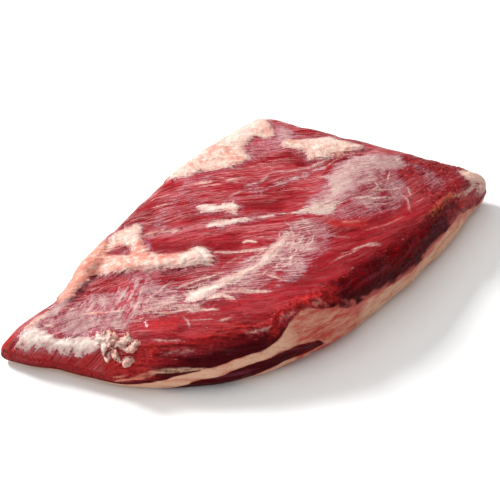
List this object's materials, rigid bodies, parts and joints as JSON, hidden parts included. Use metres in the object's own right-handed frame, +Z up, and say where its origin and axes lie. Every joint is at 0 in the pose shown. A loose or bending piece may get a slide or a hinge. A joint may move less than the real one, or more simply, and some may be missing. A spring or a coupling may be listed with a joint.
{
  "type": "raw beef brisket",
  "caption": "Raw boneless beef brisket: a thick slanted slab of dark red lean over a layer of hard fat, with a second band of lean in its side and fat deposits and silver skin on top.",
  "frame": {"origin": "centre of the bounding box at the underside, which is the table the cut lies on", "axes": "+X along the length from the thin end to the blunt end, +Y across the width away from the side that shows the layers, +Z up through the thickness"},
  "size_m": [0.5032, 0.2714, 0.0805],
  "materials": {
    "flat_lean": "moist, slightly glossy",
    "hard_fat": "moist, satin",
    "point_lean": "moist, satin"
  },
  "bodies": {
    "root": {"flat_muscle": "flat_lean", "fat_layer": "hard_fat", "point_muscle": "point_lean"}
  },
  "joints": []
}
